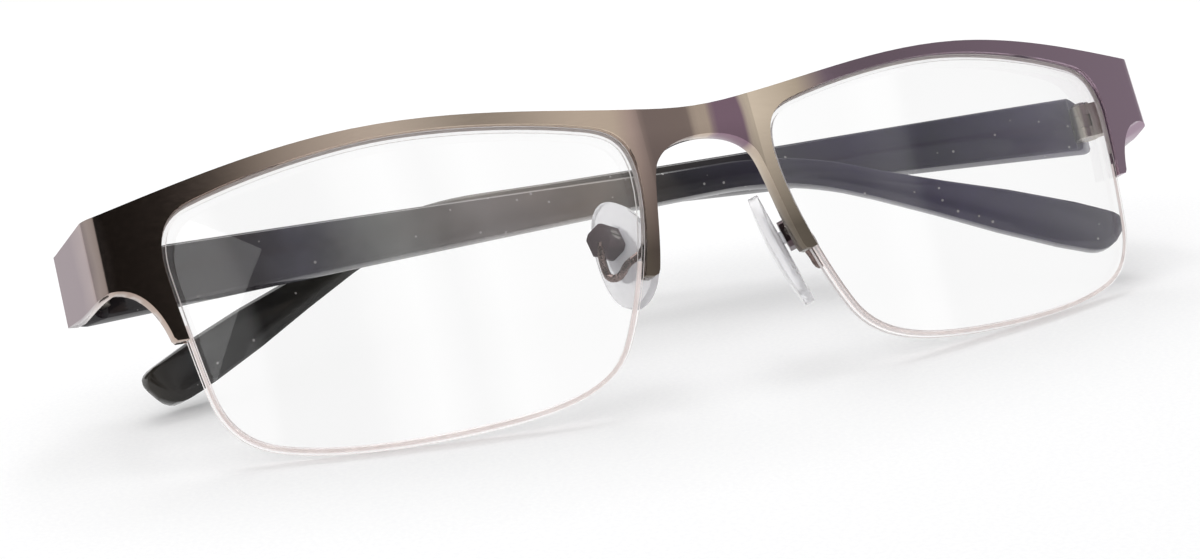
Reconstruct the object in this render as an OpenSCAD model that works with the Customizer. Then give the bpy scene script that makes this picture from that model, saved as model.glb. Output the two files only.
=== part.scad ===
// Half-rim reading glasses, folded: a metal brow front, two lenses hung on nylon lines, pads and temples.
// The front is drawn upright (X across, Y backwards, Z up from the lens bottoms), then leaned back to rest.

/* [Lenses] */
// Width of one lens in the front view
lens_w = 52; // [48:0.5:55]
// Height of one lens in the front view
lens_h = 34; // [31:0.5:37]
// Distance between the two lenses where they are closest
lens_apart = 17; // [15:0.5:20]
// Thickness of a lens at its middle
lens_mid_t = 2.5; // [2.3:0.05:2.7]
// Radius of the front surface of a lens
lens_front_r = 199; // [180:1:230]
// Radius of the back surface of a lens
lens_back_r = 398; // [350:1:450]
// Depth of the middle of the lens edge behind the face of the front
lens_set_back = 1.45; // [1.35:0.01:1.5]
// Gap between a lens and the metal rim
lens_gap = 0.05; // [0.03:0.01:0.1]

/* [Nylon lines] */
// Diameter of the nylon line and of the nylon liner
line_d = 0.5; // [0.4:0.05:0.55]
// Width of the groove that holds the nylon
groove_w = 0.62; // [0.6:0.01:0.66]
// Depth of the groove in the edge of a lens
groove_lens_depth = 0.65; // [0.6:0.05:0.8]
// Depth of the groove in the metal rim
groove_rim_depth = 0.35; // [0.3:0.01:0.4]

/* [Metal front] */
// Thickness of the metal
metal_t = 2.1; // [1.9:0.05:2.3]
// Height of the metal above the top of a lens
brow_above = 1.5; // [1.2:0.1:2.5]
// Height of the metal at the middle of the bridge
bridge_h = 3.45; // [2.8:0.05:4]
// How far the bridge dips below the highest point of the top edge
bridge_dip = 4.45; // [3.5:0.05:5]
// How far the metal at the hinge corner dips below the highest point of the top edge
corner_dip = 3.4; // [2.8:0.1:4]
// Half width of the flat stretch at the bridge
flat_half = 7; // [6:0.1:7.5]
// Angle at which the front starts to wrap beside the flat stretch
wrap_start = 4.6; // [3:0.1:6]
// Radius of the wrap of the front
wrap_r = 260; // [240:1:320]
// Width of the metal between a lens and the bend of the side plate
side_w = 6; // [5.5:0.05:7.5]
// Outer radius of the bend of the side plate
corner_r = 2.3; // [2.3:0.05:2.6]
// Angle of the side plate to the width of the front
plate_angle = 75.8; // [72:0.1:80]
// Length of the straight stretch of the side plate
plate_len = 8.4; // [7.8:0.1:8.5]
// Height of the side plate at its front end
plate_h = 8.6; // [7.5:0.1:9]

/* [Nose pads] */
// Distance from the middle of the front to a pad
pad_x = 9.9; // [9.5:0.1:10.5]
// Depth of a pad behind the face of the front
pad_y = 7.9; // [7.5:0.1:9]
// Height of the wearer's right pad above the lens bottoms
pad_z_right = 17; // [15.5:0.05:17.5]
// Height of the wearer's left pad above the lens bottoms
pad_z_left = 14.4; // [14:0.05:17]
// Length of a pad
pad_h = 14.5; // [12.5:0.5:15]
// Width of a pad
pad_w = 8.2; // [7:0.1:9]
// Thickness of a pad
pad_t = 1.9; // [1.7:0.05:2.1]
// Turn of a pad towards the back of the nose
pad_splay = 27; // [20:1:32]
// Lean of the top of a pad towards the middle
pad_lean = 13.3; // [8:0.1:16]
// Tilt of the top of the wearer's right pad towards the back
pad_tilt_right = 22; // [16:0.5:24]
// Tilt of the top of the wearer's left pad towards the back
pad_tilt_left = 6.9; // [4:0.1:10]
// Diameter of the wire of a pad arm
wire_d = 0.9; // [0.8:0.05:1]
// Distance from the middle of a pad to the pivot in its box
pad_pivot_x = 2; // [1.95:0.05:2.2]
// Height of the pivot above the middle of a pad
pad_pivot_z = 1.2; // [0.8:0.1:1.6]
// Radius of the screw of a pad box
pad_screw_r = 0.4; // [0.35:0.01:0.45]

/* [Hinges] */
// Distance of a hinge pin inwards from the end of the side plate
pin_in = 3.88; // [3.7:0.01:4.05]
// Distance of a hinge pin behind the end of the side plate
pin_back = 2.44; // [2.35:0.01:2.8]
// Drop of the middle of a temple below the top of the hinge corner
pin_below = 4.55; // [4.1:0.05:5.1]
// Height of all three knuckles together
knuckle_total = 4.4; // [4:0.1:5]
// Height of the middle knuckle, which turns with the temple
knuckle_mid = 1.6; // [1.4:0.1:1.8]
// Drop of the knuckles below the middle of the temple
knuckle_drop = 0.4; // [0:0.1:0.6]
// Radius of a knuckle
knuckle_r = 1.5; // [1.4:0.05:1.5]
// Radius of the shaft of a hinge screw
screw_r = 0.65; // [0.55:0.01:0.7]
// Radius of the head of a hinge screw
screw_head_r = 1.15; // [1:0.05:1.3]
// Height of the head of a hinge screw
screw_head_h = 0.4; // [0.3:0.05:0.5]
// Running gap round a pin and beside the middle knuckle
run_gap = 0.03; // [0.02:0.01:0.05]
// Thickness of the hinge leaf that is soldered to the side plate
leaf_t = 0.9; // [0.8:0.05:1]
// Length of the hinge leaf
leaf_len = 6.6; // [5:0.1:7]

/* [Temples] */
// Length of a temple along its middle, from the joint to the tip
temple_len = 135.2; // [130:0.5:142]
// Thickness of a temple
temple_t = 3.4; // [3.2:0.05:3.5]
// Height of a temple at the hinge
temple_h_hinge = 7.5; // [7:0.1:8]
// Height of a temple at the ear bend
temple_h_bend = 3.3; // [3:0.1:4]
// Greatest height of the ear end
temple_h_ear = 5.7; // [4.5:0.1:6.5]
// Distance from the joint to the middle of the ear bend
bend_at = 92.2; // [90:0.1:96]
// Half length of the ear bend
bend_half = 8; // [6:0.5:10]
// Turn of the ear bend downwards
bend_down = 28.4; // [24:0.1:32]
// Turn of the ear bend towards the head
bend_in = 24.9; // [20:0.1:26]
// Gap between the inner face of a temple and the pin's axis
face_from_pin = 0.6; // [0.5:0.05:0.7]
// Distance from the joint line of side plate and temple back to the pin
pin_behind_joint = 2.3; // [2.2:0.05:2.4]
// Diameter of the wire core of a temple
core_d = 1.1; // [0.9:0.05:1.3]

/* [Rest pose] */
// Lean of the front when the folded glasses lie on a table
lean = 28.3; // [27:0.1:30]
// Angle by which the right temple, when folded, stops short of the front's width
fold_right = 2.57; // [2.3:0.01:2.7]
// Angle by which the left temple, when folded, stops short of the front's width
fold_left = 9; // [8.6:0.01:9.5]
// Lean of the right hinge pin
pin_lean_right = 1.32; // [1:0.01:1.6]
// Lean of the left hinge pin
pin_lean_left = 3.68; // [3.3:0.01:4]

/* [Hidden] */
$fn = 48;
big_fn = 480;
shell_fn = 180;
eps = 0.01;
reach = 2 * lens_w;

// Colours
gunmetal = [0.46, 0.40, 0.39];
nickel = [0.72, 0.70, 0.67];
clear_lens = [0.86, 0.90, 0.90, 0.35];
nylon = [0.90, 0.86, 0.85];
clear_pad = [0.85, 0.88, 0.90, 0.5];
charcoal = [0.12, 0.11, 0.13];

// General curve helpers
function along(a) = [cos(a), sin(a)];
function mix(p, q, t) = p * (1 - t) + q * t;
function bezier(p0, p1, p2, p3, t) =
    let (a = mix(p0, p1, t), b = mix(p1, p2, t), c = mix(p2, p3, t)) mix(mix(a, b, t), mix(b, c, t), t);
// A knot is [x, z, heading, handle before, handle after]; the curve leaves it along its heading
function knot_pt(k) = [k[0], k[1]];
function span(k, m, n) = [
    for (i = [0:n - 1])
        let (a = knot_pt(k), b = a + k[4] * along(k[2]), d = knot_pt(m), c = d - m[3] * along(m[2]))
        bezier(a, b, c, d, i / n)
];
function unit(v) = v / norm(v);
function flip(points) = [for (i = [len(points) - 1:-1:0]) [-points[i][0], points[i][1]]];
function sum_of(v, i = 0) = i < len(v) - 1 ? v[i] + sum_of(v, i + 1) : v[i];
// Moves a closed clockwise outline outwards by d
function grow(points, d) = let (n = len(points)) [
    for (i = [0:n - 1])
        let (t = unit(points[(i + 1) % n] - points[(i + n - 1) % n])) points[i] + d * [-t[1], t[0]]
];

// Plan of the metal front: a flat bridge, a wrapped stretch, a bend and the side plate
wrap_cx = flat_half - wrap_r * sin(wrap_start);
wrap_cy = wrap_r * cos(wrap_start);
lens_x0 = lens_apart / 2;
lens_edge_x = lens_x0 + lens_w;
corner_x = lens_edge_x + side_w;
wrap_end = asin((corner_x - wrap_cx) / wrap_r);
bend_cx = wrap_cx + (wrap_r - corner_r) * sin(wrap_end);
bend_cy = wrap_cy - (wrap_r - corner_r) * cos(wrap_end);
plate_x = bend_cx + corner_r * sin(plate_angle);
plate_y = bend_cy - corner_r * cos(plate_angle);
wrap_steps = 30;
corner_steps = 8;
function arc_xya(cx, cy, r, a) = [cx + r * sin(a), cy - r * cos(a), a];
wrap_turn = (wrap_end - wrap_start) / wrap_steps;
corner_turn = (plate_angle - wrap_end) / corner_steps;
plate_end = [plate_x, plate_y] + plate_len * along(plate_angle);
plan_half = concat(
    [for (i = [0:wrap_steps]) arc_xya(wrap_cx, wrap_cy, wrap_r, wrap_start + wrap_turn * i)],
    [for (i = [1:corner_steps]) arc_xya(bend_cx, bend_cy, corner_r, wrap_end + corner_turn * i)],
    [[plate_end[0], plate_end[1], plate_angle]]
);
plan_outer = [for (p = plan_half) [p[0], p[1]]];
plan_inner = [for (i = [len(plan_half) - 1:-1:0]) let (p = plan_half[i])
    [p[0] - metal_t * sin(p[2]), p[1] + metal_t * cos(p[2])]];
function face_y(x) = wrap_cy - sqrt(pow(wrap_r, 2) - pow(x - wrap_cx, 2));

// Lens outline, clockwise in the front view from the top; x from the nasal edge and z from the bottom
lens_mid_x = lens_x0 + lens_w / 2;
lens_knots = [
    [27.8, 34, 0, 7.1, 5.8],
    [48.25, 31.35, -15, 6.7, 3.7],
    [52, 25, -91, 2.1, 1.6],
    [50.2, 10.3, -100, 3.3, 4.2],
    [44.5, 2.9, -158, 3, 4.5],
    [22.9, 0, -180, 10, 8],
    [5.9, 4.85, -235, 5, 2.8],
    [0, 24.4, -270, 7.5, 4.3],
    [5, 30.7, -345, 3.2, 7]
];
shape_w = max([for (k = lens_knots) k[0]]);
shape_h = max([for (k = lens_knots) k[1]]);
lens_steps = 12;
function fit_to_lens(p) = [lens_x0 + p[0] * lens_w / shape_w, p[1] * lens_h / shape_h];
lens_line = [
    for (i = [0:len(lens_knots) - 1])
        for (p = span(lens_knots[i], lens_knots[(i + 1) % len(lens_knots)], lens_steps)) fit_to_lens(p)
];
lens_count = len(lens_line);
nasal_edge = [for (p = lens_line) if (p[0] < lens_mid_x) [p[1], p[0]]];

// Lens surfaces: three spheres on one line through the middle of the lens
lens_turn = asin((lens_mid_x - wrap_cx) / wrap_r);
lens_axis = [-sin(lens_turn), cos(lens_turn), 0];
lens_centre_z = 21.2;
lens_mid_r = wrap_r + 5;
lens_mid = [lens_mid_x, face_y(lens_mid_x), lens_centre_z] + lens_set_back * lens_axis;
front_centre = lens_mid + (lens_front_r - lens_mid_t / 2) * lens_axis;
back_centre = lens_mid + (lens_back_r + lens_mid_t / 2) * lens_axis;
mid_centre = lens_mid + lens_mid_r * lens_axis;
function on_sphere(c, r, p) = [p[0], c[1] - sqrt(r * r - pow(p[0] - c[0], 2) - pow(p[1] - c[2], 2)), p[1]];

// Front view of the metal: the top edge and the arch are curves between knots
top_z = lens_h + brow_above;
bridge_top = top_z - bridge_dip;
bridge_bottom = bridge_top - bridge_h;
corner_top = top_z - corner_dip;
pin_x = plate_end[0] - pin_in;
pin_y = plate_end[1] + pin_back;
pin_z = corner_top - pin_below;
apex_from_lens = 30;
apex_x = lens_x0 + apex_from_lens;
top_knots = [
    [0, bridge_top, 0, 0, 10],
    [apex_x, top_z, 0, 15, 9.5],
    [corner_x, corner_top, -10, 9.5, 0]
];
arch_side = lens_x0 - 2.1;
leg_tip_z = 12.9;
arch_knots = [
    [0, bridge_bottom, 0, 0, 3.6],
    [arch_side, bridge_bottom - 3.1, -68, 1.8, 2],
    [lens_x0 + 0.5, leg_tip_z + 0.2, -73, 4, 0]
];
side_leg_z = 16.65;
leg_hook = corner_top - plate_h;
edge_steps = 16;
function knots_line(k) = concat(
    [for (i = [0:len(k) - 2]) for (p = span(k[i], k[i + 1], edge_steps)) p], [knot_pt(k[len(k) - 1])]);
nasal_leg = [
    [lens_x0 + 0.75, leg_tip_z - 0.25],
    [lens_x0 + 1.3, leg_tip_z - 0.4],
    [lens_x0 + 2.3, leg_tip_z - 0.15],
    [lens_x0 + 4.5, leg_tip_z + 2]
];
side_leg_knots = [
    [lens_edge_x + 0.65, side_leg_z + 0.55, 80, 0, 1.6],
    [corner_x - 0.15, leg_hook, 0, 3.6, 0.6],
    [corner_x + 2.6, leg_hook - 0.9, -10, 0.9, 0]
];
side_plate = [
    [corner_x + 1.45, corner_top - 0.15],
    [corner_x + 3.45, corner_top - 1.25],
    [corner_x + 5, corner_top - 1.4],
    [corner_x + 5, leg_hook - 0.75]
];
side_leg_end = [
    [lens_edge_x + 0.35, side_leg_z + 0.12],
    [lens_edge_x - 0.9, side_leg_z],
    [lens_edge_x - 3, side_leg_z + 1],
    [lens_edge_x - 5, side_leg_z + 5],
    [lens_x0 + 7, side_leg_z + 5]
];
half_front = concat(
    knots_line(top_knots),
    side_plate,
    [for (i = [edge_steps * 2:-1:0]) knots_line(side_leg_knots)[i]],
    side_leg_end,
    [for (i = [len(nasal_leg) - 1:-1:0]) nasal_leg[i]],
    [for (i = [edge_steps * 2:-1:0]) knots_line(arch_knots)[i]]
);
inner_half = [for (i = [1:len(half_front) - 2]) half_front[i]];
front_outline = concat([half_front[0]], inner_half, [half_front[len(half_front) - 1]], flip(inner_half));

// Places in the temple's own frame: the pin is the origin, Y runs along the open temple, X points outwards
bend_from = bend_at - bend_half;
bend_to = bend_at + bend_half;
temple_start = 0.3;
mitre_inner = 3.2;
tip_round = 2.8;
tip_square = 2.6;
tip_slant = 0.3;
slant_from = temple_len - 14;
function bend_share(s) = min(1, max(0, (s - bend_from) / (2 * bend_half)));
function heading(s) = let (a = bend_in * bend_share(s), b = bend_down * bend_share(s))
    [-cos(b) * sin(a), cos(b) * cos(a), -sin(b)];
bend_parts = 12;
function bend_sum(s) = let (d = (s - bend_from) / bend_parts)
    sum_of([for (i = [0:bend_parts - 1]) d * heading(bend_from + (i + 0.5) * d)]);
face_start = [face_from_pin, -pin_behind_joint, 0];
function face_pt(s) = face_start + (
    s <= bend_from ? [0, s, 0]
    : s <= bend_to ? [0, bend_from, 0] + bend_sum(s)
    : [0, bend_from, 0] + bend_sum(bend_to) + (s - bend_to) * heading(bend_to)
);
function up_at(s) = let (d = heading(s)) unit([0, 0, 1] - d[2] * d);
function out_at(s) = cross(heading(s), up_at(s));
function hinge_mix(t) = mix(temple_h_hinge, temple_h_bend, t);
function ear_mix(t) = mix(temple_h_bend, temple_h_ear, t);
function temple_h(s) = lookup(s, [
    [0, temple_h_hinge],
    [25, hinge_mix(0.3)],
    [50, hinge_mix(0.6)],
    [bend_from - 10, hinge_mix(0.9)],
    [bend_from, temple_h_bend + 0.15],
    [bend_at, temple_h_bend],
    [bend_to + 4, temple_h_bend + 0.1],
    [bend_to + 12, ear_mix(0.35)],
    [bend_to + 20, ear_mix(0.8)],
    [temple_len - 6, temple_h_ear],
    [temple_len, temple_h_ear - 0.6]
]);
function tip_share(s) = min(1, max(0, (s - temple_len + tip_round) / tip_round));
function tip_scale(s) = max(0.3, pow(1 - pow(tip_share(s), tip_square), 1 / tip_square));
function slant_at(s) = tip_slant * max(0, (s - slant_from) / (temple_len - slant_from));
// Section of a temple: u across from the inner face, v up; the inner face has a ridge, the top a bevel
bevel = 0.55;
function section(h) = [
    [0, -0.08 * h], [0.4, h / 2 - 0.3], [0.7, h / 2],
    [temple_t - bevel, h / 2], [temple_t, h / 2 - bevel], [temple_t + 0.05, 0],
    [temple_t, 0.35 - h / 2], [temple_t - 0.35, -h / 2], [0.7, -h / 2], [0.4, 0.3 - h / 2]
];
function section_pts(s) = let (k = tip_scale(s), mid = temple_t / 2)
    [for (q = section(temple_h(s))) face_pt(s) + out_at(s) * (mid + (q[0] - mid) * k)
        + (up_at(s) + slant_at(s) * heading(s)) * q[1] * k];
temple_stops = concat(
    [temple_start],
    [for (i = [1:8]) i * bend_from / 9],
    [for (i = [0:10]) bend_from + 2 * bend_half * i / 10],
    [for (i = [1:8]) bend_to + (temple_len - tip_round - bend_to) * i / 8],
    [for (i = [1:6]) temple_len - tip_round + tip_round * sin(15 * i)]
);
temple_rings = [for (s = temple_stops) section_pts(s)];

// Rest: the front leans back, the lens edges touch the table and the depth is centred
function lean_y(p) = p[1] * cos(lean) + p[2] * sin(lean);
function lean_z(p) = p[2] * cos(lean) - p[1] * sin(lean);
function turn_z(p, a) = [p[0] * cos(a) - p[1] * sin(a), p[0] * sin(a) + p[1] * cos(a), p[2]];
function turn_y(p, a) = [p[0] * cos(a) + p[2] * sin(a), p[1], p[2] * cos(a) - p[0] * sin(a)];
function folded(p, fold, tilt) = turn_y(turn_z(p, 90 - fold), tilt) + [pin_x, pin_y, pin_z];
rest_z = -min([for (p = lens_line) lean_z(on_sphere(back_centre, lens_back_r, p))]);
depth_front = min([for (p = lens_line) lean_y(on_sphere(front_centre, lens_front_r, p))]);
depth_back = max([for (ring = temple_rings) for (p = ring) lean_y(folded(p, fold_left, pin_lean_left))]);
rest_y = -(depth_front + depth_back) / 2;

// Mirrors a piece to the wearer's right, and leans what is drawn in the upright frame
module side(right) {
    mirror([right ? 1 : 0, 0, 0]) children();
}

module rest() {
    translate([0, rest_y, rest_z]) rotate([-lean, 0, 0]) children();
}

// A prism along Y over an outline drawn in X and Z
module prism(points) {
    translate([0, reach, 0]) rotate([90, 0, 0]) linear_extrude(2 * reach) polygon(points);
}

module ball(c, r, fn = big_fn) {
    translate(c) sphere(r, $fn = fn);
}

// The metal's plan, as a slab from below the lenses to above the top edge
module metal_band() {
    plan = concat(plan_outer, plan_inner, flip(plan_inner), flip(plan_outer));
    translate([0, 0, -reach / 2]) linear_extrude(reach) polygon(plan);
}

// The shell round the lens's middle surface in which all grooves lie
module groove_shell() {
    difference() {
        ball(mid_centre, lens_mid_r + groove_w / 2, shell_fn);
        ball(mid_centre, lens_mid_r - groove_w / 2, shell_fn);
    }
}

module rim_cut() {
    prism(grow(lens_line, lens_gap));
    intersection() {
        prism(grow(lens_line, lens_gap + groove_rim_depth));
        groove_shell();
    }
}

module brow_front() {
    color(gunmetal) rest() difference() {
        intersection() {
            metal_band();
            prism(front_outline);
        }
        rim_cut();
        side(true) rim_cut();
    }
}

module lens(right) {
    color(clear_lens) rest() side(right) difference() {
        intersection() {
            prism(lens_line);
            ball(front_centre, lens_front_r);
        }
        ball(back_centre, lens_back_r);
        difference() {
            intersection() {
                prism(grow(lens_line, 1));
                groove_shell();
            }
            prism(grow(lens_line, -groove_lens_depth));
        }
    }
}

// A round tube along a path; across gives, for each point, a direction that the path never takes
tube_sides = 10;
module tube(path, r, across) {
    n = len(path);
    function direction(i) = unit(path[min(i + 1, n - 1)] - path[max(i - 1, 0)]);
    rings = [for (i = [0:n - 1])
        let (w = unit(cross(direction(i), across[i])), b = cross(w, direction(i)))
        for (k = [0:tube_sides - 1])
            let (a = 360 * k / tube_sides) path[i] + r * (cos(a) * w - sin(a) * b)];
    walls = [for (i = [0:n - 2]) for (k = [0:tube_sides - 1])
        let (m = (k + 1) % tube_sides, j = i * tube_sides)
        each [[j + k, j + tube_sides + k, j + tube_sides + m], [j + k, j + tube_sides + m, j + m]]];
    first = [for (k = [0:tube_sides - 1]) k];
    last = [for (k = [tube_sides - 1:-1:0]) (n - 1) * tube_sides + k];
    polyhedron(rings, concat([first], walls, [last]), convexity = 10);
}

module edge_tube(outline, from, to) {
    path = [for (i = [from:to]) on_sphere(mid_centre, lens_mid_r, outline[i % lens_count])];
    tube(path, line_d / 2, [for (p = path) p - mid_centre]);
}

// Ends of the free stretch of the lens edge, a little way up inside the two legs
leg_hold = 3;
free_from = min([for (i = [0:lens_count - 1])
    if (lens_line[i][0] > lens_mid_x && lens_line[i][1] < side_leg_z + leg_hold) i]);
free_to = max([for (i = [0:lens_count - 1])
    if (lens_line[i][0] < lens_mid_x && lens_line[i][1] < leg_tip_z + leg_hold) i]);

// The lower line lies sunk in the lens groove; the upper liner fills both grooves
line_sink = 0.05;
module lens_line_piece(right) {
    color(nylon) rest() side(right)
        edge_tube(grow(lens_line, -line_d / 2 - line_sink), free_from, free_to);
}

module rim_liner(right) {
    color(nylon) rest() side(right)
        edge_tube(grow(lens_line, lens_gap / 2), free_to + 1, free_from - 1 + lens_count);
}

// Nose pads: drawn with X pointing away from the nose, Z along the pad
module pad_place(right) {
    rest() side(right) translate([pad_x, pad_y, right ? pad_z_right : pad_z_left])
        rotate([right ? -pad_tilt_right : -pad_tilt_left, -pad_lean, -pad_splay]) children();
}

module oval(w, h, x, t) {
    steps = 40;
    function oval_pt(a) = [w / 2 * cos(a) * (1 - 0.1 * sin(a)), h / 2 * sin(a)];
    translate([x, 0, 0]) rotate([90, 0, 90]) linear_extrude(t)
        polygon([for (i = [0:steps - 1]) oval_pt(360 * i / steps)]);
}

// The nose side is domed, and the back is rounded off towards both long edges
pad_dome_r = 40;
pad_back_r = 11;
pad_back = 0.65;
pad_front = pad_back - pad_t;
core_plate_t = 0.5;
lug_t = 1;
lug_r = 0.95;
module pad_core_body() {
    oval(pad_w * 0.5, pad_h * 0.55, -core_plate_t / 2, core_plate_t);
    translate([0, -lug_t / 2, pad_pivot_z - lug_r * 0.7]) cube([pad_pivot_x, lug_t, lug_r * 1.4]);
    translate([pad_pivot_x, 0, pad_pivot_z]) rotate([90, 0, 0]) cylinder(r = lug_r, h = lug_t, center = true);
}

module nose_pad(right) {
    color(clear_pad) pad_place(right) difference() {
        intersection() {
            oval(pad_w, pad_h, pad_front, pad_t);
            translate([pad_dome_r + pad_front, 0, 0]) sphere(pad_dome_r, $fn = shell_fn);
            translate([pad_back - pad_back_r, 0, 0])
                cylinder(r = pad_back_r, h = 2 * pad_h, center = true, $fn = big_fn);
        }
        pad_core_body();
    }
}

module pad_core(right) {
    color(nylon) pad_place(right) difference() {
        pad_core_body();
        translate([pad_pivot_x, 0, pad_pivot_z]) rotate([90, 0, 0])
            cylinder(r = pad_screw_r + run_gap, h = 2 * lug_t, center = true);
    }
}

// The box stands clear of the pad's back so that the pad can rock
box_gap = 0.35;
box_w = 3;
box_h = 3.4;
box_depth = 2.5;
box_wall = 0.4;
box_x = pad_back + box_gap;
module pad_box_body() {
    intersection() {
        translate([box_x, -box_w / 2, pad_pivot_z - box_h / 2]) cube([box_depth, box_w, box_h]);
        translate([box_x - 1, 0, pad_pivot_z]) rotate([0, 90, 0])
            cylinder(r = box_h * 0.56, h = box_depth + 2);
    }
}

module pad_box(right) {
    color(gunmetal) pad_place(right) difference() {
        pad_box_body();
        translate([box_x - 1, -lug_t / 2 - 0.1, pad_pivot_z - lug_r - 0.2])
            cube([box_depth + 1 - box_wall, lug_t + 0.2, 2 * lug_r + 0.4]);
        translate([pad_pivot_x, 0, pad_pivot_z]) rotate([90, 0, 0])
            cylinder(r = pad_screw_r, h = 2 * box_w, center = true);
        translate([pad_pivot_x, -box_w / 2 - eps, pad_pivot_z]) rotate([-90, 0, 0])
            cylinder(r = pad_screw_r * 1.8, h = box_wall + eps);
    }
}

module pad_screw(right) {
    slot = 0.2;
    color(nickel) pad_place(right)
        translate([pad_pivot_x, -box_w / 2, pad_pivot_z]) rotate([-90, 0, 0]) difference() {
            union() {
                cylinder(r = pad_screw_r, h = box_w);
                cylinder(r = pad_screw_r * 1.75, h = box_wall);
            }
            translate([-1, -slot / 2, -eps]) cube([2, slot, slot + eps]);
        }
}

// Rounds a chain of straight stretches into a smooth path through the middles of its stretches
function rounded(k, n) = concat([k[0]], [
    for (i = [1:len(k) - 2])
        let (a = i == 1 ? k[0] : (k[i - 1] + k[i]) / 2)
        let (b = i == len(k) - 2 ? k[i + 1] : (k[i] + k[i + 1]) / 2)
        for (t = [1:n]) mix(mix(a, k[i], t / n), mix(k[i], b, t / n), t / n)
]);

// Pad arm: from the back of the box down, round a bend and up the back of the nasal leg
wire_r = wire_d / 2;
box_back = box_x + box_depth;
function pad_to_front(p, z, tilt) =
    let (a = -tilt,
        q = [p[0], p[1] * cos(a) - p[2] * sin(a), p[1] * sin(a) + p[2] * cos(a)],
        u = turn_y(q, -pad_lean))
    turn_z(u, -pad_splay) + [pad_x, pad_y, z];
leg_back = metal_t + wire_r * 0.75;
arm_from_lens = lens_gap + wire_r + 0.1;
foot_z = leg_tip_z + 3.7;
// A point on the back of the nasal leg beside the lens, out from the metal by more
function on_leg(z, more) =
    let (x = lookup(z, nasal_edge) - arm_from_lens) [x, face_y(x) + leg_back + more, z];
module pad_arm(right) {
    z = right ? pad_z_right : pad_z_left;
    tilt = right ? pad_tilt_right : pad_tilt_left;
    start = pad_to_front([box_back - 0.3, 0, pad_pivot_z - 0.5], z, tilt);
    low = z - 3.2;
    turn_x = start[0] - 0.1;
    path = [
        start,
        [start[0] + 0.55, start[1] - 0.35, start[2] - 0.9],
        [start[0] + 0.65, start[1] - 0.7, low + 0.9],
        [start[0] + 0.45, start[1] - 1.3, low + 0.2],
        [turn_x, start[1] - 1.95, low],
        [turn_x - 0.55, start[1] - 2.5, low + 0.35],
        [turn_x - 1, start[1] - 2.9, low + 1.2],
        on_leg(foot_z - 0.6, 0.65),
        on_leg(foot_z + 0.5, 0.25),
        on_leg(foot_z + 1.5, 0),
        on_leg(foot_z + 4, 0)
    ];
    smooth = rounded(path, 4);
    color(nickel) difference() {
        rest() side(right) tube(smooth, wire_r, [for (p = smooth) [1, 0.2, 0]]);
        rest() side(right) metal_band();
        pad_place(right) pad_box_body();
    }
}

// Hinges: drawn with the pin on the Z axis
module pin_place(right) {
    rest() side(right) translate([pin_x, pin_y, pin_z])
        rotate([0, right ? pin_lean_right : pin_lean_left, 0]) children();
}

plate_back = plate_end + metal_t * [-sin(plate_angle), cos(plate_angle)] - [pin_x, pin_y];
leaf_dir = along(plate_angle);
leaf_side = [-sin(plate_angle), cos(plate_angle)];
leaf_far = plate_back - leaf_len * leaf_dir;
leaf_sink = 0.7;
module knuckle_place(right) {
    pin_place(right) translate([0, 0, -knuckle_drop]) children();
}

module front_hinge(right) {
    leaf = [
        [knuckle_r * 0.95, -0.4], plate_back - leaf_sink * leaf_side, leaf_far - leaf_sink * leaf_side,
        leaf_far + leaf_t * leaf_side, plate_back + leaf_t * leaf_side - 0.6 * leaf_dir,
        [-knuckle_r * 0.75, -knuckle_r * 0.6], [0, 0]
    ];
    color(nickel) difference() {
        knuckle_place(right) difference() {
            union() {
                translate([0, 0, -knuckle_total / 2]) linear_extrude(knuckle_total) polygon(leaf);
                translate([0, 0, -knuckle_total / 2]) cylinder(r = knuckle_r, h = knuckle_total);
            }
            translate([0, 0, -knuckle_total]) cylinder(r = screw_r, h = 2 * knuckle_total);
            translate([0, 0, -knuckle_mid / 2 - run_gap])
                cylinder(r = knuckle_r + 0.2, h = knuckle_mid + 2 * run_gap);
        }
        rest() side(right) metal_band();
    }
}

module hinge_screw(right) {
    slot = 0.3;
    color(nickel) knuckle_place(right) translate([0, 0, -knuckle_total / 2]) difference() {
        union() {
            cylinder(r = screw_r, h = knuckle_total);
            translate([0, 0, knuckle_total]) cylinder(r = screw_head_r, h = screw_head_h);
        }
        translate([-slot / 2, -2, knuckle_total + screw_head_h - slot]) cube([slot, 4, 1]);
    }
}

module fold_place(right) {
    pin_place(right) rotate([0, 0, 90 - (right ? fold_right : fold_left)]) children();
}

tongue_x = face_from_pin + 0.4;
tongue_t = 1.1;
tongue_h = 1.4;
tongue_len = 12;
module hinge_tongue() {
    translate([tongue_x, 0, -knuckle_drop - tongue_h / 2]) cube([tongue_t, tongue_len, tongue_h]);
}

module temple_hinge(right) {
    color(nickel) fold_place(right) difference() {
        union() {
            translate([0, 0, -knuckle_drop - knuckle_mid / 2]) cylinder(r = knuckle_r, h = knuckle_mid);
            hinge_tongue();
        }
        translate([0, 0, -knuckle_mid]) cylinder(r = screw_r + run_gap, h = 2 * knuckle_mid);
    }
}

// The wire core runs from the hinge's tongue through the ear bend
core_end_gap = 7;
function core_pt(s) = face_pt(s) + out_at(s) * temple_t / 2;
core_stops = concat(
    [tongue_len + pin_behind_joint],
    [for (i = [0:8]) bend_from + 2 * bend_half * i / 8],
    [temple_len - core_end_gap]
);
module core_body() {
    tube([for (s = core_stops) core_pt(s)], core_d / 2, [for (s = core_stops) up_at(s)]);
}

module temple_core(right) {
    color(nickel) fold_place(right) core_body();
}

module temple_body() {
    m = len(temple_rings[0]);
    n = len(temple_rings);
    walls = [for (i = [0:n - 2]) for (k = [0:m - 1]) let (q = (k + 1) % m, j = i * m)
        each [[j + k, j + m + k, j + m + q], [j + k, j + m + q, j + q]]];
    first = [for (k = [0:m - 1]) k];
    last = [for (k = [m - 1:-1:0]) (n - 1) * m + k];
    polyhedron([for (ring = temple_rings) each ring], concat([first], walls, [last]), convexity = 6);
}

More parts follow.
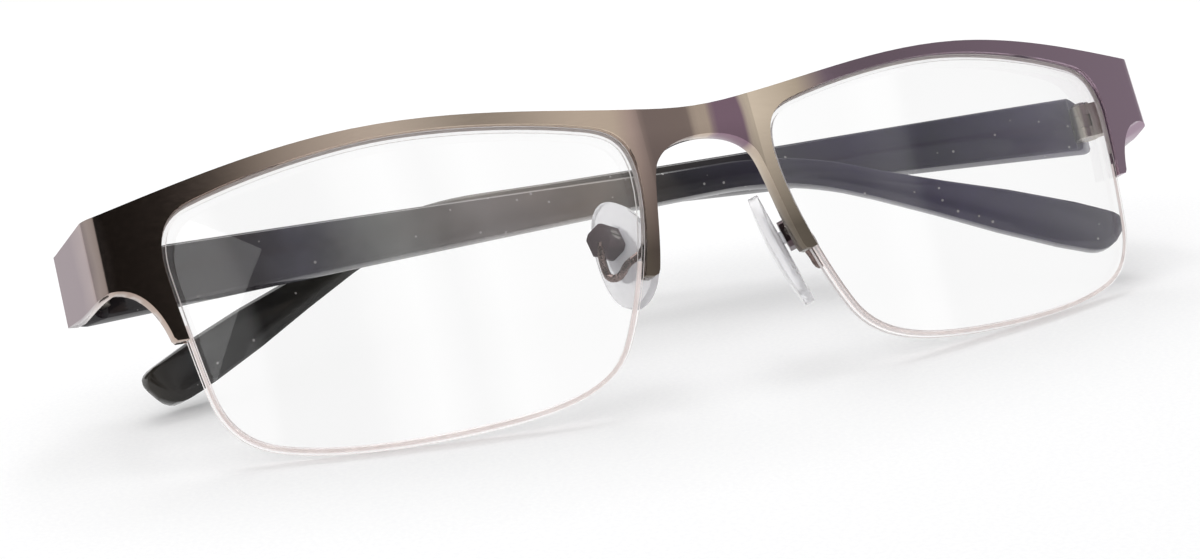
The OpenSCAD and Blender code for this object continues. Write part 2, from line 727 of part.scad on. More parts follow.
// The hinge end is cut to a mitre, with its upper and lower corners rounded
relief_gap = 0.15;
end_round = 1;
mitre_angle = atan2(mitre_inner - temple_start, temple_t);
block = 3 * temple_t;
module mitre_cut() {
    translate([-block, -block, -reach / 2]) cube([3 * block, block, reach]);
    for (lower = [0, 1])
        mirror([0, 0, lower]) translate([-block, 0, temple_h_hinge / 2 - end_round]) difference() {
            translate([0, -eps, 0]) cube([3 * block, end_round + eps, 2 * end_round]);
            translate([0, end_round, 0]) rotate([0, 90, 0]) cylinder(r = end_round, h = 3 * block);
        }
}

module temple(right) {
    color(charcoal) fold_place(right) difference() {
        temple_body();
        translate([face_from_pin, mitre_inner - pin_behind_joint, 0])
            rotate([0, 0, -mitre_angle]) mitre_cut();
        translate([0, 0, -reach / 2]) cylinder(r = knuckle_r + relief_gap, h = reach);
        hinge_tongue();
        core_body();
    }
}

brow_front();
lens(true);  // lens_right
lens(false);  // lens_left
rim_liner(true);  // rim_liner_right
rim_liner(false);  // rim_liner_left
lens_line_piece(true);  // lens_line_right
lens_line_piece(false);  // lens_line_left
pad_arm(true);  // pad_arm_right
pad_arm(false);  // pad_arm_left
pad_box(true);  // pad_box_right
pad_box(false);  // pad_box_left
pad_screw(true);  // pad_screw_right
pad_screw(false);  // pad_screw_left
nose_pad(true);  // nose_pad_right
nose_pad(false);  // nose_pad_left
pad_core(true);  // pad_core_right
pad_core(false);  // pad_core_left
front_hinge(true);  // front_hinge_right
front_hinge(false);  // front_hinge_left
hinge_screw(true);  // hinge_screw_right
hinge_screw(false);  // hinge_screw_left
temple_hinge(true);  // temple_hinge_right
temple_hinge(false);  // temple_hinge_left
temple_core(true);  // temple_core_right
temple_core(false);  // temple_core_left
temple(true);  // temple_right
temple(false);  // temple_left
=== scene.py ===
# %% [markdown]
# # Half-rim reading glasses, folded on a white table
# The solids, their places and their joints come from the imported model, which stays fixed. This script
# dresses it. The metal front, the lenses, the temples and the pads are copied from the solids and cleaned,
# and all but the lenses get the small edge rounds that polishing or moulding leaves. Every other solid stays
# as it is and gets its own material.

# %% Load the fixed frame
import math

import bpy
import numpy as np
from mathutils import Matrix, Vector


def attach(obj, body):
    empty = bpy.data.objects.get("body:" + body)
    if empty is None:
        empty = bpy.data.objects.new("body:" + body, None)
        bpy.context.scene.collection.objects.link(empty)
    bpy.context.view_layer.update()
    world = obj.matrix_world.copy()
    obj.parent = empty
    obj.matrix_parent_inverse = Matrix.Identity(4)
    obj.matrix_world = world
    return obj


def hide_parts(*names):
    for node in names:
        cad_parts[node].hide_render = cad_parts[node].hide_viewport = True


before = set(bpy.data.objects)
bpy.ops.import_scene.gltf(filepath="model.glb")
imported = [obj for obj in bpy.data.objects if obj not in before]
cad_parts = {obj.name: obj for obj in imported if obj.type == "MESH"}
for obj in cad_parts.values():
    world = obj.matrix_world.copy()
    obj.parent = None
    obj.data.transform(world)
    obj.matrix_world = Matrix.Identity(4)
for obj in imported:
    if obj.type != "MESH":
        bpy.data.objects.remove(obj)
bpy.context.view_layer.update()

MM = 0.001
SIDES = ("right", "left")

# %% [markdown]
# ## Camera
# The camera stands in front of the wearer's right side, a little above the table, and is rolled a few
# degrees against the horizon. A lens of 67 mm on full frame gives the perspective of the photograph.

# %% Camera
CAMERA_AT = Vector((-107.21, -239.91, 81.25)) * MM
CAMERA_AIM = Vector((-16.35, -21.47, 15.13)) * MM
CAMERA_ROLL = math.radians(-3.79)
LENS_MM = 67.49
SENSOR_MM = 36.0
NEAR_MM = 10
FAR_M = 20.0

camera_data = bpy.data.cameras.new("camera")
camera_data.lens = LENS_MM
camera_data.sensor_width = SENSOR_MM
camera_data.clip_start = NEAR_MM * MM
camera_data.clip_end = FAR_M
camera = bpy.data.objects.new("camera", camera_data)
bpy.context.scene.collection.objects.link(camera)
look = (CAMERA_AIM - CAMERA_AT).to_track_quat("-Z", "Y").to_matrix().to_4x4()
camera.matrix_world = Matrix.Translation(CAMERA_AT) @ look @ Matrix.Rotation(CAMERA_ROLL, 4, "Z")
bpy.context.scene.camera = camera
bpy.context.scene.view_settings.view_transform = "Standard"
print("camera is", round((CAMERA_AIM - CAMERA_AT).length / MM), "mm from the front")

# %% [markdown]
# ## Material helpers
# One function turns a written sRGB colour into the linear one that shaders use, and one adds a node, sets
# its inputs and links it. The others start a material, fill a colour ramp and end a material that mixes two
# shaders.


# %% Material helpers
def srgb(text, alpha=1.0):
    """Linear colour from a hex text such as #8a7f72."""
    parts = [int(text[i:i + 2], 16) / 255 for i in (1, 3, 5)]
    linear = [p / 12.92 if p <= 0.04045 else ((p + 0.055) / 1.055) ** 2.4 for p in parts]
    return (*linear, alpha)


def add_node(tree, kind, inputs=None, **settings):
    """Adds a node; inputs maps a socket's name or number to a value or to another node's output."""
    node = tree.nodes.new(kind)
    for name, value in settings.items():
        setattr(node, name, value)
    for key, value in (inputs or {}).items():
        if isinstance(value, bpy.types.NodeSocket):
            tree.links.new(value, node.inputs[key])
        else:
            node.inputs[key].default_value = value
    return node


def start_material(name):
    """A new material with a Principled shader, its tree and the object's own coordinates."""
    material = bpy.data.materials.new(name)
    material.use_nodes = True
    tree = material.node_tree
    shader = next(n for n in tree.nodes if n.type == "BSDF_PRINCIPLED")
    place = add_node(tree, "ShaderNodeTexCoord").outputs["Object"]
    return material, tree, shader, place


def set_ramp(node, stops):
    """Sets a colour ramp to (position, colour) stops."""
    elements = node.color_ramp.elements
    while len(elements) < len(stops):
        elements.new(0.5)
    for element, (position, colour) in zip(elements, stops):
        element.position = position
        element.color = colour


def end_in_mix(tree, share, first, second):
    """Lets the surface be a mix of two shaders, with a share of the second."""
    output = next(n for n in tree.nodes if n.type == "OUTPUT_MATERIAL")
    mix = add_node(tree, "ShaderNodeMixShader", {0: share, 1: first, 2: second})
    tree.links.new(mix.outputs["Shader"], output.inputs["Surface"])


print("grey #808080 is linear", round(srgb("#808080")[0], 3))

# %% [markdown]
# ## Patterns that several materials share
# No real surface is even. A value that wanders makes the gloss or the depth of a colour uneven, and a colour
# that wanders between two tones makes a surface mottled. The third pattern lets a tone change over the width
# of the glasses, with a soft and uneven passage from one tone to the next.

# %% Shared patterns
MOTTLE_FROM = 0.3
MOTTLE_TO = 0.7
HALF_FRONT_MM = 75.0


def wandering(tree, place, patch_mm, low, high, detail=2.0):
    """Value that wanders softly between low and high, in patches of a size."""
    patches = add_node(tree, "ShaderNodeTexNoise",
                       {"Vector": place, "Scale": 1 / (patch_mm * MM), "Detail": detail})
    value = add_node(tree, "ShaderNodeMapRange",
                     {"Value": patches.outputs["Fac"], "To Min": low, "To Max": high})
    return value.outputs["Result"]


def mottled(tree, place, patch_mm, dark, light, detail=2.0):
    """Colour that wanders between two tones, in patches of a size."""
    patches = add_node(tree, "ShaderNodeTexNoise",
                       {"Vector": place, "Scale": 1 / (patch_mm * MM), "Detail": detail})
    tone = add_node(tree, "ShaderNodeValToRGB", {"Fac": patches.outputs["Fac"]})
    set_ramp(tone, [(MOTTLE_FROM, dark), (MOTTLE_TO, light)])
    return tone.outputs["Color"]


def across_front(x_mm):
    """Position on a ramp that runs over the width of the front."""
    return (x_mm + HALF_FRONT_MM) / (2 * HALF_FRONT_MM)


def toned_across(tree, place, tones, patch_mm, shift_mm, detail):
    """Colour that follows tones, (mm from the middle, colour), with each passage shifted unevenly."""
    shift = wandering(tree, place, patch_mm, -shift_mm * MM, shift_mm * MM, detail)
    across = add_node(tree, "ShaderNodeSeparateXYZ", {0: place}).outputs["X"]
    shifted = add_node(tree, "ShaderNodeMath", {0: across, 1: shift}, operation="ADD")
    along = add_node(tree, "ShaderNodeMapRange",
                     {"Value": shifted.outputs[0], "From Min": -HALF_FRONT_MM * MM,
                      "From Max": HALF_FRONT_MM * MM})
    tone = add_node(tree, "ShaderNodeValToRGB", {"Fac": along.outputs["Result"]})
    set_ramp(tone, [(across_front(x), srgb(colour)) for x, colour in tones])
    return tone.outputs["Color"]


print("a ramp over the front runs from", across_front(-HALF_FRONT_MM), "to", across_front(HALF_FRONT_MM))

# %% [markdown]
# ## Gunmetal plating
# The front is a stamped and polished nickel alloy with a warm grey plating. Polishing leaves it glossy, with
# a fine grain along the width, drawn a little coarser than the real one so that it shows. The tones over the
# width give the plating its brown and violet grey, and they also hold painted reflections: light and dark
# bands, light stripes on the bridge and a painted highlight on the bend of the right side plate. The nasal
# legs get painted shade that darkens them towards their tips, where little light gets.

# %% Gunmetal plating
GRAIN_MM = 0.25
GRAIN_STRETCH = 0.06
GRAIN_BUMP = 0.03
GRAIN_DEPTH_MM = 0.02
PLATED_SMOOTHER = 0.04
PLATED_ROUGHER = 0.05
DRIFT_MM = 8.0
DRIFT_DETAIL = 1.5
UNEVEN_MM = 0.8
LEG_TIP_MM = 17.0
LEG_TOP_MM = 29.0
LEG_TIP_SHADE = 0.2
LEG_REACH_MM = 13.0
LEG_CLEAR_MM = 17.0


def leg_shade(tree, place):
    """Painted shade: brightness that is 1 but on the nasal legs, where it falls from their top to their tip.
    """
    spot = add_node(tree, "ShaderNodeSeparateXYZ", {0: place})
    up_leg = add_node(tree, "ShaderNodeMapRange",
                      {"Value": spot.outputs["Z"], "From Min": LEG_TIP_MM * MM, "From Max": LEG_TOP_MM * MM,
                       "To Min": LEG_TIP_SHADE, "To Max": 1.0})
    aside = add_node(tree, "ShaderNodeMath", {0: spot.outputs["X"]}, operation="ABSOLUTE")
    off_leg = add_node(tree, "ShaderNodeMapRange",
                       {"Value": aside.outputs[0], "From Min": LEG_REACH_MM * MM,
                        "From Max": LEG_CLEAR_MM * MM})
    shade = add_node(tree, "ShaderNodeMath", {0: up_leg.outputs["Result"], 1: off_leg.outputs["Result"]},
                     operation="MAXIMUM")
    return shade.outputs[0]


def make_gunmetal(name, tones, roughness):
    """Plated metal whose tone changes along the width of the front, with painted reflections in the tones and
    painted shade on the nasal legs; tones are (mm from the middle, colour).
    """
    material, tree, shader, place = start_material(name)
    tone = toned_across(tree, place, tones, DRIFT_MM, UNEVEN_MM, DRIFT_DETAIL)
    shade = leg_shade(tree, place)
    plating_and_painted_light = add_node(tree, "ShaderNodeVectorMath", {0: tone, "Scale": shade}, operation="SCALE")
    tree.links.new(plating_and_painted_light.outputs["Vector"], shader.inputs["Base Color"])
    stretch = add_node(tree, "ShaderNodeMapping", {"Vector": place, "Scale": (GRAIN_STRETCH, 1.0, 1.0)})
    grain = add_node(tree, "ShaderNodeTexNoise",
                     {"Vector": stretch.outputs["Vector"], "Scale": 1 / (GRAIN_MM * MM)})
    gloss = add_node(tree, "ShaderNodeMapRange",
                     {"Value": grain.outputs["Fac"], "To Min": roughness - PLATED_SMOOTHER,
                      "To Max": roughness + PLATED_ROUGHER})
    tree.links.new(gloss.outputs["Result"], shader.inputs["Roughness"])
    bump = add_node(tree, "ShaderNodeBump",
                    {"Height": grain.outputs["Fac"], "Strength": GRAIN_BUMP, "Distance": GRAIN_DEPTH_MM * MM})
    tree.links.new(bump.outputs["Normal"], shader.inputs["Normal"])
    shader.inputs["Metallic"].default_value = 1.0
    return material


# The first tones are the right side plate and a painted highlight on its bend, and the close ones in the
# middle are painted reflections, light and dark stripes on the bridge.
FRONT_TONES_AND_REFLECTIONS = [
    (-68.2, "#978a8e"), (-67.4, "#c2b2ac"), (-66.3, "#c2aea4"), (-65.6, "#a08c80"), (-58.0, "#c0aa9c"),
    (-30.0, "#dccab8"), (-10.0, "#d8c4b0"), (-8.0, "#c4aca2"), (-6.4, "#988680"), (-1.2, "#9c8a82"),
    (-0.4, "#d6c2b0"), (1.2, "#d6c2b0"), (2.0, "#9c8090"), (5.3, "#9c8090"), (6.0, "#f2e0ca"),
    (13.5, "#d8c6b0"), (18.0, "#a28c9a"), (70.0, "#a28c9c")]
BOX_TONES = [(-70.0, "#c0a4a8"), (70.0, "#b49ca6")]
gunmetal = make_gunmetal("gunmetal plated nickel alloy", FRONT_TONES_AND_REFLECTIONS, roughness=0.13)
# The pad boxes get the same painted shade wherever they lie within 17 mm of the middle and below 29 mm.
box_metal = make_gunmetal("violet grey plated pad box", BOX_TONES, roughness=0.24)
print("plated metals:", gunmetal.name, "and", box_metal.name)

# %% [markdown]
# ## Steel and nickel silver
# The hinges are machined from nickel silver, the screws and the cores of the temples are steel, and the pad
# arms are plated steel wire. All of them are plain metals that handling has blotched a little, with a fine
# turning or drawing grain. To the eye that is a soft sheen, so only the tone and the roughness change over
# the surface.

# %% Steel and nickel silver
BLOTCH_MM = 3.0
BLOTCH_DETAIL = 3.0
BLOTCH_TONE = 0.8
MACHINED_SMOOTHER = 0.06
MACHINED_ROUGHER = 0.08


def make_bare_metal(name, colour, roughness, grain_mm):
    """Machined metal of one colour, slightly blotched by handling."""
    material, tree, shader, place = start_material(name)
    light = srgb(colour)
    dark = tuple(BLOTCH_TONE * c for c in light[:3]) + (1.0,)
    tree.links.new(mottled(tree, place, BLOTCH_MM, dark, light, BLOTCH_DETAIL), shader.inputs["Base Color"])
    gloss = wandering(tree, place, grain_mm, roughness - MACHINED_SMOOTHER, roughness + MACHINED_ROUGHER)
    tree.links.new(gloss, shader.inputs["Roughness"])
    shader.inputs["Metallic"].default_value = 1.0
    return material


nickel = make_bare_metal("machined nickel silver", "#b9b1a6", roughness=0.3, grain_mm=0.2)
steel = make_bare_metal("turned steel", "#a9a4a0", roughness=0.24, grain_mm=0.12)
wire_metal = make_bare_metal("plated steel wire", "#7c6c68", roughness=0.26, grain_mm=0.2)
print("bare metals:", nickel.name, steel.name, wire_metal.name)

# %% [markdown]
# ## Clear pieces
# The lenses are cast and polished resin of index 1.498 with an anti-reflection coat, which takes most of the
# mirror image away. The pads are moulded silicone round a harder clear core. Both are partly milky, and
# their indices are set below the real ones, because the photograph shows them pale and bending little.
# A shadow ray passes each clear piece in part, since light that the real one bends still reaches the table.

# %% Clear pieces
RESIN_INDEX = 1.498


def make_clear(name, colour, index, roughness, shadow, haze_mm, haze, mirror=0.5, clear=1.0):
    """Clear material; shadow is the share of light that passes it, and clear the share that isn't milky."""
    material, tree, shader, place = start_material(name)
    shader.inputs["Base Color"].default_value = srgb(colour)
    shader.inputs["Transmission Weight"].default_value = clear
    shader.inputs["IOR"].default_value = index
    shader.inputs["Specular IOR Level"].default_value = mirror
    tree.links.new(wandering(tree, place, haze_mm, roughness, roughness + haze), shader.inputs["Roughness"])
    ray = add_node(tree, "ShaderNodeLightPath").outputs["Is Shadow Ray"]
    share = add_node(tree, "ShaderNodeMath", {0: ray, 1: shadow}, operation="MULTIPLY")
    through = add_node(tree, "ShaderNodeBsdfTransparent")
    end_in_mix(tree, share.outputs[0], shader.outputs["BSDF"], through.outputs["BSDF"])
    return material


lens_resin = make_clear("polished lens resin", "#ffffff", RESIN_INDEX, roughness=0.0, shadow=0.5,
                        haze_mm=20.0, haze=0.008, mirror=0.12)
silicone = make_clear("moulded clear silicone", "#fefdff", 1.36, roughness=0.08, shadow=0.7,
                      haze_mm=1.5, haze=0.08, clear=0.68)
core_plastic = make_clear("moulded clear pad core", "#fbfbfe", 1.43, roughness=0.12, shadow=0.7,
                          haze_mm=1.0, haze=0.08, clear=0.6)
print("clear pieces:", lens_resin.name, silicone.name, core_plastic.name)

# %% [markdown]
# ## Ground edge of a lens
# The edge is ground with a fine stone and left matt, so it scatters light, also the light that the lens
# carries to it from inside. A path tracer finds little of that light, so a weak glow stands for it. The grit
# is drawn coarser than the real one, so that it shows.

# %% Ground edge of a lens
GRIT_MM = 0.15
CARRIED_GLOW = 0.11


def make_ground_edge():
    """Half clear, matt resin with the glow of the carried light."""
    material, tree, shader, place = start_material("ground resin edge")
    tone = mottled(tree, place, GRIT_MM, srgb("#f0e8e7"), srgb("#faf3f2"))
    tree.links.new(tone, shader.inputs["Base Color"])
    tree.links.new(tone, shader.inputs["Emission Color"])
    shader.inputs["Emission Strength"].default_value = CARRIED_GLOW
    shader.inputs["Roughness"].default_value = 0.4
    shader.inputs["Transmission Weight"].default_value = 0.5
    shader.inputs["IOR"].default_value = RESIN_INDEX
    return material


ground_edge = make_ground_edge()
print("edge of a lens:", ground_edge.name)

# %% [markdown]
# ## Drawn nylon
# The line under a lens and the liner in the rim are drawn nylon, milky at their thickness, with a soft gloss.
# The line lies in the edge of the lens, in the shade of the table under it, and a painted glow stands for the
# light that the lens carries there. The liner is hidden in the rim and gets none.

# %% Drawn nylon
NYLON_STREAK_MM = 1.2
# The line's glow is painted light; the liner has none.
LINE_PAINTED_GLOW = 0.18
LINER_GLOW = 0.0


def make_nylon(name, glow):
    """Milky nylon with a soft gloss; glow is a painted glow that stands for the light that the lens carries
    to it.
    """
    material, tree, shader, place = start_material(name)
    tone = mottled(tree, place, NYLON_STREAK_MM, srgb("#eee5e3"), srgb("#f8f0ee"))
    tree.links.new(tone, shader.inputs["Base Color"])
    tree.links.new(tone, shader.inputs["Emission Color"])
    shader.inputs["Emission Strength"].default_value = glow
    shader.inputs["Roughness"].default_value = 0.25
    shader.inputs["Transmission Weight"].default_value = 0.3
    shader.inputs["IOR"].default_value = 1.53
    return material


line_nylon = make_nylon("drawn clear nylon line", LINE_PAINTED_GLOW)
liner_nylon = make_nylon("drawn clear nylon liner", LINER_GLOW)
print("lines:", line_nylon.name, liner_nylon.name)

# %% [markdown]
# ## Temple plastic
# The temples are polished dark acetate. The colour is a smoky charcoal, lighter and grey brown over the
# stretch behind the lenses, and violet towards the wearer's left. It has soft clouds, use has dulled its
# polish in places, and a few specks of dust lie on it.

# %% Temple plastic
CLOUD_MM = 14.0
CLOUD_DETAIL = 2.0
CLOUD_SHIFT_MM = 6.0
DEPTH_MM = 3.0
DEPTH_LOW = 0.7
DEPTH_HIGH = 1.15
DUST_CELL_MM = 2.0
DUST_CORE = 0.07
DUST_RIM = 0.1
DUST_COVER = 0.6
WEAR_MM = 6.0
WEAR_LOW = 0.06
WEAR_HIGH = 0.16
FINE_DETAIL = 4.0


def dust_cover(tree, place):
    """Cover of dust: a round speck in each cell, full up to DUST_CORE of a cell's size, gone at DUST_RIM."""
    cells = add_node(tree, "ShaderNodeTexVoronoi", {"Vector": place, "Scale": 1 / (DUST_CELL_MM * MM)})
    speck = add_node(tree, "ShaderNodeMapRange",
                     {"Value": cells.outputs["Distance"], "From Min": DUST_CORE, "From Max": DUST_RIM,
                      "To Min": DUST_COVER, "To Max": 0.0})
    return speck.outputs["Result"]


def make_acetate(name, tones):
    """Polished smoky acetate with clouds and dust; tones are (mm across the folded glasses, colour)."""
    material, tree, shader, place = start_material(name)
    tone = toned_across(tree, place, tones, CLOUD_MM, CLOUD_SHIFT_MM, CLOUD_DETAIL)
    depth = wandering(tree, place, DEPTH_MM, DEPTH_LOW, DEPTH_HIGH, FINE_DETAIL)
    body = add_node(tree, "ShaderNodeVectorMath", {0: tone, "Scale": depth}, operation="SCALE")
    dusty = add_node(tree, "ShaderNodeMix",
                     {0: dust_cover(tree, place), 6: body.outputs["Vector"], 7: srgb("#b9b6b4")},
                     data_type="RGBA")
    tree.links.new(dusty.outputs[2], shader.inputs["Base Color"])
    wear = wandering(tree, place, WEAR_MM, WEAR_LOW, WEAR_HIGH, FINE_DETAIL)
    tree.links.new(wear, shader.inputs["Roughness"])
    shader.inputs["IOR"].default_value = 1.5
    shader.inputs["Specular IOR Level"].default_value = 0.36
    return material


TEMPLE_TONES = {
    "right": [
        (-70.0, "#1d1a1e"), (-58.0, "#2b282a"), (-50.0, "#3b3739"), (-42.0, "#55535c"), (-30.0, "#737371"),
        (-17.0, "#7d7573"), (-4.0, "#796e66"), (3.0, "#4b4642"), (9.0, "#1c1a22"), (25.0, "#2a2538"),
        (45.0, "#3c3552"), (62.0, "#302a42")],
    "left": [
        (-66.0, "#3a362f"), (-56.0, "#1f1d1e"), (-40.0, "#23221f"), (-24.0, "#33302a"), (-14.0, "#777069"),
        (-2.0, "#756e68"), (8.0, "#38332f"), (20.0, "#1e1a24"), (34.0, "#322a46"), (48.0, "#262338"),
        (60.0, "#382f50"), (70.0, "#3a3050")]}
acetate = {}
for side in SIDES:
    acetate[side] = make_acetate("smoky acetate of the " + side + " temple", TEMPLE_TONES[side])
print("temples:", [material.name for material in acetate.values()])

# %% [markdown]
# ## Finished copies of the main solids
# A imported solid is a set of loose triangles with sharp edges. A copy is merged, its flat triangles are
# joined into faces, and a narrow bevel rounds the edges as polishing does. Then its faces are shaded
# smoothly up to an angle.

# %% Copying a solid
MERGE_MM = 0.002


def only(piece):
    """Makes one object the only selected and active one."""
    bpy.ops.object.select_all(action="DESELECT")
    piece.select_set(True)
    bpy.context.view_layer.objects.active = piece


def finished_copy(node, name, round_mm=0.0, segments=2, smooth_deg=30.0, sharp_deg=35.0, flat_deg=0.15):
    """A merged copy of a CAD node with rounded edges, in the node's own place."""
    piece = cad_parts[node].copy()
    piece.data = piece.data.copy()
    piece.name = name
    bpy.context.scene.collection.objects.link(piece)
    piece.parent = None
    piece.matrix_world = Matrix.Identity(4)
    only(piece)
    bpy.ops.object.mode_set(mode="EDIT")
    bpy.ops.mesh.select_all(action="SELECT")
    bpy.ops.mesh.remove_doubles(threshold=MERGE_MM * MM)
    if round_mm:
        bpy.ops.mesh.dissolve_limited(angle_limit=math.radians(flat_deg))
    bpy.ops.object.mode_set(mode="OBJECT")
    if round_mm:
        bevel = piece.modifiers.new("polish", "BEVEL")
        bevel.width = round_mm * MM
        bevel.segments = segments
        bevel.limit_method = "ANGLE"
        bevel.angle_limit = math.radians(sharp_deg)
        bpy.ops.object.modifier_apply(modifier=bevel.name)
    bpy.ops.object.shade_smooth_by_angle(angle=math.radians(smooth_deg))
    print(name, len(piece.data.polygons), "faces")
    return piece


def dress(piece, material):
    """Gives a piece or node one material."""
    piece.data.materials.clear()
    piece.data.materials.append(material)


# %% [markdown]
# ## Exact normals
# A mirror image on a polished face bends at each edge between two flat mesh faces. Custom normals cure that:
# each corner of a polished face is told the true direction of the real surface there, and the narrow rounds
# beside it start from the same direction, so that no seam shows.

# %% Exact normals
ROUND_LIMIT = math.cos(math.radians(50.0))


def set_normals(piece, exact):
    """Gives each polished face its exact normals, and lets the narrow rounds beside it start from them.

    exact maps a face and a place on it to the true normal there, or to None where the face isn't polished.
    """
    mesh = piece.data
    normals = [corner.vector.copy() for corner in mesh.corner_normals]
    polished = {}
    for face in mesh.polygons:
        for loop, vertex in zip(face.loop_indices, face.vertices):
            true = exact(face, mesh.vertices[vertex].co)
            if true is not None:
                normals[loop] = true
                polished.setdefault(vertex, []).append((face.index, true))
    owners = {index for owner in polished.values() for index, _ in owner}
    for face in mesh.polygons:
        if face.index in owners:
            continue
        for loop, vertex in zip(face.loop_indices, face.vertices):
            near = [true for _, true in polished.get(vertex, []) if true.dot(face.normal) > ROUND_LIMIT]
            if near:
                normals[loop] = max(near, key=face.normal.dot)
    mesh.normals_split_custom_set([tuple(n) for n in normals])
    print(piece.name, "polished faces:", len(owners), "of", len(mesh.polygons))


# %% [markdown]
# ## The plan of the front
# Seen from above, the front is flat at the bridge, wraps along a wide arc on each side, and turns through a
# tight bend into the side plate. The normals follow that plan, so that reflections run clean across the
# polished faces. The lengths of the plan are in millimetres.

# %% The plan of the front
LEAN = math.radians(28.3)
FLAT_HALF = 7.0
WRAP_START = math.radians(4.6)
WRAP_RADIUS = 260.0
BEND_FROM = 66.5
BEND_RADIUS = 2.3
PLATE_ANGLE = math.radians(75.8)
METAL = 2.1
WRAP_MID = FLAT_HALF - WRAP_RADIUS * math.sin(WRAP_START)
WRAP_END = math.asin((BEND_FROM - WRAP_MID) / WRAP_RADIUS)
BEND_MID = WRAP_MID + (WRAP_RADIUS - BEND_RADIUS) * math.sin(WRAP_END)
SAME_FACE = math.cos(math.radians(7.0))


def turn_on(middle, radius, x):
    """Angle of an arc of the plan at a distance x from the middle of the front."""
    return math.asin(max(-1.0, min(1.0, (x - middle) / radius)))


def plan_turns(x, depth):
    """Angles that the flat bridge, the wrap, the bend and the plate have at x, at a depth in the metal."""
    wrap = min(WRAP_END, max(WRAP_START, turn_on(WRAP_MID, WRAP_RADIUS - depth, x)))
    bend = min(PLATE_ANGLE, max(WRAP_END, turn_on(BEND_MID, BEND_RADIUS - depth, x)))
    return (0.0, wrap, bend, PLATE_ANGLE)


def outward(turn):
    """Unit direction out of the leaned front where its plan has turned by an angle."""
    return Vector((math.sin(turn), -math.cos(turn) * math.cos(LEAN), math.cos(turn) * math.sin(LEAN)))


def front_normal(face, point):
    """Normal of the polished front or back face of the metal, or None on its edges."""
    for sign, depth in ((1, 0.0), (-1, METAL)):
        choices = []
        turns_here = plan_turns(abs(point.x) / MM, depth)
        turns_mid = plan_turns(abs(face.center.x) / MM, depth)
        for turn_here, turn_mid in zip(turns_here, turns_mid):
            middle = outward(math.copysign(turn_mid, face.center.x)) * sign
            choices.append((middle.dot(face.normal), outward(math.copysign(turn_here, point.x)) * sign))
        match, normal = max(choices, key=lambda choice: choice[0])
        if match > SAME_FACE:
            return normal
    return None


print("the wrap turns to", round(math.degrees(WRAP_END), 1), "degrees and ends", BEND_FROM, "mm out")

# %% [markdown]
# ## The metal front
# The front is one stamped piece of metal: the brow over both lenses, the bridge, the legs and the side
# plates. Polishing has rounded its edges a little, and a bevel of 0.16 mm gives them the thin lines of light
# that such edges show.

# %% The metal front
front = finished_copy("brow_front", "polished_front", round_mm=0.16)
set_normals(front, front_normal)
dress(front, gunmetal)
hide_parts("brow_front")
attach(front, "front")

# %% [markdown]
# ## Lenses
# The two optical faces are polished and the edge is ground. Both faces take their normals from the front
# sphere: the lenses are so weak that the photograph shows nothing shifted behind them.

# %% Lenses
EDGE_LIMIT = 0.9


def lens_axis(lens):
    """Direction through a lens: the mean of its front faces' normals, by area."""
    total = Vector()
    for face in lens.data.polygons:
        if face.normal.y < 0:
            total += face.normal * face.area
    return total.normalized()


def sphere_centre(points):
    """Centre of the sphere that best fits the points."""
    rows = np.array([[*(2 * p), 1.0] for p in points])
    squares = np.array([p.length_squared for p in points])
    return Vector(np.linalg.lstsq(rows, squares, rcond=None)[0][:3])


def front_sphere(lens, axis):
    """Centre of the sphere of a lens's front face."""
    faces = [face for face in lens.data.polygons if face.normal.dot(axis) > EDGE_LIMIT]
    return sphere_centre([lens.data.vertices[v].co for v in {v for face in faces for v in face.vertices}])


for side in SIDES:
    lens = finished_copy("lens_" + side, "polished_lens_" + side, smooth_deg=25.0)
    dress(lens, lens_resin)
    lens.data.materials.append(ground_edge)
    axis = lens_axis(lens)
    for face in lens.data.polygons:
        face.material_index = 1 if abs(face.normal.dot(axis)) < EDGE_LIMIT else 0
    centre = front_sphere(lens, axis)
    print("lens sphere of", round((lens.data.vertices[0].co - centre).length / MM), "mm")

    def lens_normal(face, point, centre=centre):
        """Normal of an optical face, or the plain one on the ground edge."""
        if face.material_index == 1:
            return face.normal.copy()
        outward_here = (point - centre).normalized()
        return outward_here if outward_here.dot(face.normal) > 0 else -outward_here

    set_normals(lens, lens_normal)
    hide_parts("lens_" + side)
    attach(lens, "front")

# %% [markdown]
# ## Temples
# Each temple is one flat piece of acetate round a wire core. It is cut out and then tumbled in a drum, which
# takes the sharpness off its long edges, so they get a bevel of 0.12 mm.

# %% Temples
for side in SIDES:
    temple = finished_copy("temple_" + side, "polished_temple_" + side,
                           round_mm=0.12, smooth_deg=32.0, sharp_deg=34.0)
    dress(temple, acetate[side])
    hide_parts("temple_" + side)
    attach(temple, "temple_" + side)

# %% [markdown]
# ## Nose pads
# A pad is a soft drop of silicone that is moulded round its core, so no edge of it is sharp. A wider bevel
# in three steps rounds the edges that the solid still has.

# %% Nose pads
for side in SIDES:
    pad = finished_copy("nose_pad_" + side, "soft_pad_" + side, round_mm=0.25, segments=3, smooth_deg=40.0)
    dress(pad, silicone)
    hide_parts("nose_pad_" + side)
    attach(pad, "nose_pad_" + side)

# %% [markdown]
# ## Small parts
# The wires, boxes, screws, hinges, lines and cores are too small for a bevel to show. They keep their solids
# and only get their materials.

# %% Small parts
NODE_MATERIALS = {
    "rim_liner": liner_nylon, "lens_line": line_nylon,
    "pad_arm": wire_metal, "pad_box": box_metal, "pad_screw": steel, "pad_core": core_plastic,
    "front_hinge": nickel, "hinge_screw": steel, "temple_hinge": nickel, "temple_core": steel}
for stem, material in NODE_MATERIALS.items():
    for side in SIDES:
        dress(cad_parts[stem + "_" + side], material)
print("dressed", 2 * len(NODE_MATERIALS), "small nodes")

